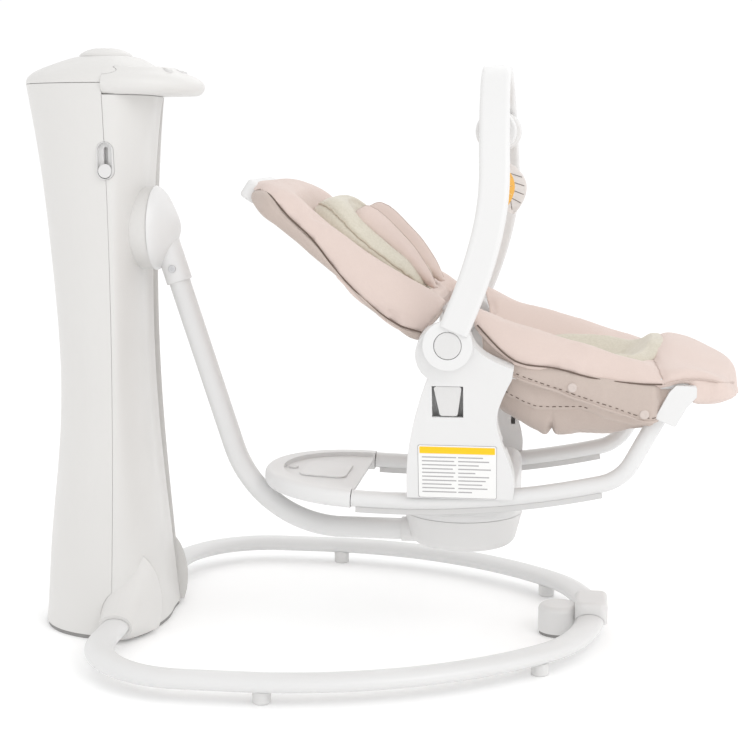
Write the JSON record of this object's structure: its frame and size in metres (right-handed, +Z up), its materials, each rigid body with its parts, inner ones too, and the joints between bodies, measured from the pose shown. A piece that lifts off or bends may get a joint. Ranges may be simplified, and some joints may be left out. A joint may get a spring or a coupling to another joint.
{
  "type": "baby swing",
  "caption": "Motorised baby swing: a tower with a floor ring swings an arm whose dock carries a lift-off rocker seat with a reclining back and a toy bar.",
  "frame": {"origin": "on the floor under the tower, on the swing axis's vertical plane and in the plane where the swing axis meets the tower's upright; the rubber foot's underside is at z = 0", "axes": "+X from the tower towards the seated child's feet, +Z up, +Y to the child's left; the swing axis is along X. Node names say left and right as seen from the feet end, facing the tower, so left is -Y"},
  "size_m": [0.8301, 0.5926, 0.6873],
  "materials": {
    "shell_plastic": "fine satin moulded ABS",
    "inner_plastic": "satin moulded ABS",
    "painted_tube": "pale grey powder coat",
    "drive_metal": "zinc-plated",
    "coil_copper": "enamelled copper winding",
    "circuit_board": "glass-epoxy board",
    "black_plastic": "satin",
    "grip_rubber": "matt soft grip",
    "pink_fabric": "fine woven blush cotton",
    "cream_fabric": "soft knitted padding",
    "beige_fabric": "woven melange polyester",
    "webbing": "woven tape",
    "leaf_fabric": "felt-like plush"
  },
  "bodies": {
    "base": {"tower_front_shell": "shell_plastic", "tower_rear_shell": "shell_plastic", "tower_lid": "shell_plastic", "control_visor": "shell_plastic", "slider_escutcheon": "shell_plastic", "rubber_feet": "grip_rubber", "tower_base_plate": "inner_plastic", "power_inlet": "black_plastic", "drive_bracket": "drive_metal", "shaft_bearings": "drive_metal", "drive_coil": "coil_copper", "control_board": "circuit_board", "speaker": "inner_plastic", "floor_tube_left": "painted_tube", "floor_tube_right": "painted_tube", "floor_posts": "shell_plastic", "front_foot_clip": "shell_plastic"},
    "power_knob": {"power_button": "shell_plastic"},
    "button_1": {"visor_button_1": "shell_plastic"},
    "button_2": {"visor_button_2": "shell_plastic"},
    "button_3": {"visor_button_3": "shell_plastic"},
    "slider": {"mode_slider": "shell_plastic"},
    "swing_arm": {"pivot_shaft": "drive_metal", "drive_lever_and_magnet": "drive_metal", "arm_hub": "shell_plastic", "arm_tube": "painted_tube", "arm_screw": "drive_metal", "dock_cup": "shell_plastic"},
    "swivel": {"swivel_table": "shell_plastic"},
    "release": {"dock_release_button": "shell_plastic"},
    "rocker": {"rocker_rails": "painted_tube", "rocker_strips": "grip_rubber", "rocker_rear_arc": "shell_plastic", "battery_door": "shell_plastic", "vibration_box": "inner_plastic", "dock_bridge": "shell_plastic", "side_panel_covers": "shell_plastic", "side_panel_backs": "inner_plastic", "leg_sockets": "shell_plastic", "seat_frame": "painted_tube", "seat_pad": "pink_fabric", "seat_insert": "cream_fabric", "seat_liner": "beige_fabric", "harness_buckle": "inner_plastic", "harness_straps": "webbing"},
    "vibrate": {"vibration_button": "shell_plastic"},
    "latch_left": {"fold_latch_left": "shell_plastic"},
    "latch_right": {"fold_latch_right": "shell_plastic"},
    "cap_left": {"hub_cap_left": "shell_plastic"},
    "cap_right": {"hub_cap_right": "shell_plastic"},
    "backrest": {"backrest_frame": "painted_tube", "backrest_pad": "pink_fabric", "backrest_liner": "beige_fabric", "backrest_insert": "cream_fabric", "head_wings": "pink_fabric", "head_handle": "shell_plastic"},
    "toy_arch": {"toy_bar": "shell_plastic", "toy_pucks": "shell_plastic"},
    "leaf_left": {"leaf_toy_left": "leaf_fabric"},
    "leaf_right": {"leaf_toy_right": "leaf_fabric"}
  },
  "joints": [
    {"name": "power_press", "type": "slide", "parent": "base", "child": "power_knob", "axis": [0, 0, -1], "range_m": [0, 0.001], "stiffness_N_per_m": 1200},
    {"name": "button_1_press", "type": "slide", "parent": "base", "child": "button_1", "axis": [0, 0, -1], "range_m": [0, 0.001], "stiffness_N_per_m": 600},
    {"name": "button_2_press", "type": "slide", "parent": "base", "child": "button_2", "axis": [0, 0, -1], "range_m": [0, 0.001], "stiffness_N_per_m": 600},
    {"name": "button_3_press", "type": "slide", "parent": "base", "child": "button_3", "axis": [0, 0, -1], "range_m": [0, 0.001], "stiffness_N_per_m": 600},
    {"name": "mode_slide", "type": "slide", "parent": "base", "child": "slider", "axis": [0, 0, 1], "range_m": [0, 0.022]},
    {"name": "swing", "type": "hinge", "parent": "base", "child": "swing_arm", "pos_m": [0, 0, 0.478], "axis": [1, 0, 0], "range_deg": [-20, 20]},
    {"name": "seat_swivel", "type": "hinge", "parent": "swing_arm", "child": "swivel", "pos_m": [0.415, 0, 0.15], "axis": [0, 0, 1], "range_deg": [-90, 90]},
    {"name": "release_press", "type": "slide", "parent": "swivel", "child": "release", "axis": [-1, 0, 0], "range_m": [0, 0.003], "stiffness_N_per_m": 700},
    {"name": "rocker_lift", "type": "slide", "parent": "swivel", "child": "rocker", "axis": [0, 0, 1], "range_m": [0, 0.15]},
    {"name": "vibrate_press", "type": "slide", "parent": "rocker", "child": "vibrate", "axis": [-0.0534, 0, -0.9986], "range_m": [0, 0.001], "stiffness_N_per_m": 500},
    {"name": "latch_left_press", "type": "slide", "parent": "rocker", "child": "latch_left", "axis": [0, 0.9816, 0.1908], "range_m": [0, 0.005], "stiffness_N_per_m": 600},
    {"name": "latch_right_press", "type": "slide", "parent": "rocker", "child": "latch_right", "axis": [0, -0.9816, 0.1908], "range_m": [0, 0.005], "stiffness_N_per_m": 600},
    {"name": "cap_left_press", "type": "slide", "parent": "toy_arch", "child": "cap_left", "axis": [0, 1, 0], "range_m": [0, 0.0025], "stiffness_N_per_m": 800},
    {"name": "cap_right_press", "type": "slide", "parent": "toy_arch", "child": "cap_right", "axis": [0, -1, 0], "range_m": [0, 0.0025], "stiffness_N_per_m": 800},
    {"name": "recline", "type": "hinge", "parent": "rocker", "child": "backrest", "pos_m": [0.409, 0, 0.365], "axis": [0, 1, 0], "range_deg": [0, 25]},
    {"name": "toy_bar_tilt", "type": "hinge", "parent": "rocker", "child": "toy_arch", "pos_m": [0.409, 0, 0.365], "axis": [0, 1, 0], "range_deg": [-40, 55]},
    {"name": "leaf_left_swing", "type": "hinge", "parent": "toy_arch", "child": "leaf_left", "pos_m": [0.4529, -0.071, 0.5635], "axis": [0, 1, 0], "range_deg": [-60, 60]},
    {"name": "leaf_right_swing", "type": "hinge", "parent": "toy_arch", "child": "leaf_right", "pos_m": [0.4529, 0.071, 0.5635], "axis": [0, 1, 0], "range_deg": [-60, 60]}
  ]
}
